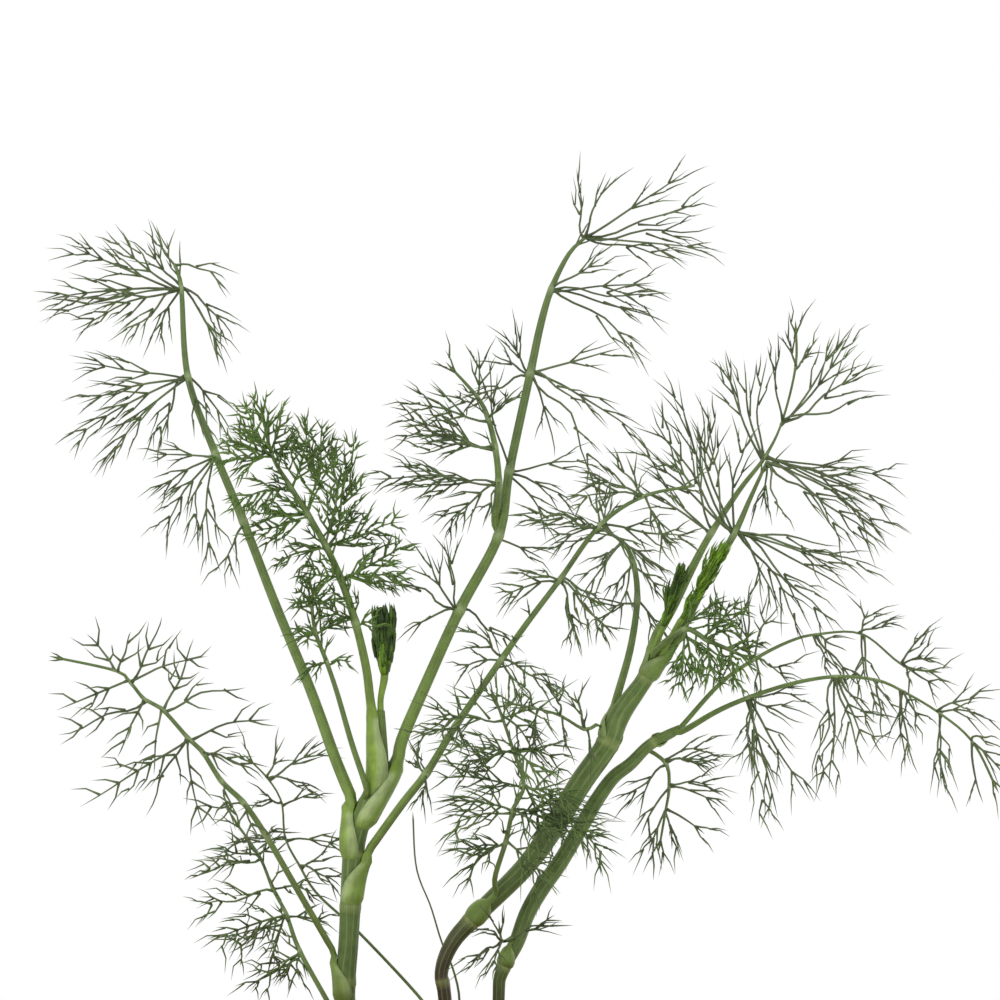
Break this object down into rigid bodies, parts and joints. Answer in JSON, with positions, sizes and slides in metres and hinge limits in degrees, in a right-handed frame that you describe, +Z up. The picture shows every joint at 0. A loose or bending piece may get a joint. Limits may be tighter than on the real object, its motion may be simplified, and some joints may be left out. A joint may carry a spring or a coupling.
{
  "type": "potted dill",
  "caption": "Young dill plants with feathery leaves on slender upright stems, growing in soil in a plain round clay flowerpot.",
  "frame": {"origin": "middle of the pot's base, on the pot's axis", "axes": "+Z up along the pot's axis, -Y towards the front of the plants, +X to their right seen from the front"},
  "size_m": [0.271, 0.128, 0.354],
  "materials": {
    "pot": "matte",
    "soil": "matte",
    "stem": "satin",
    "leaf": "satin",
    "bud": "satin"
  },
  "bodies": {
    "root": {"pot": "pot", "soil": "soil", "left_stem": "stem", "middle_stem": "stem", "right_stem": "stem", "left_bud": "bud", "middle_bud_dark": "bud", "middle_bud_bright": "bud", "left_leaf_base": "leaf", "left_leaf_low": "leaf", "left_leaf_front": "leaf", "left_leaf_tall": "leaf", "left_leaf_young": "leaf", "left_leaf_dense": "leaf", "centre_leaf_tall": "leaf", "centre_leaf_fork": "leaf", "middle_stalk_thin": "leaf", "middle_leaf_back": "leaf", "middle_leaf_low": "leaf", "middle_leaf_inner": "leaf", "middle_leaf_upright": "leaf", "middle_leaf_umbrella": "leaf", "middle_leaf_right": "leaf", "middle_leaf_dense": "leaf", "right_leaf_small": "leaf", "right_leaf_hanging": "leaf", "right_leaf_upper": "leaf", "right_leaf_lower": "leaf"}
  },
  "joints": []
}
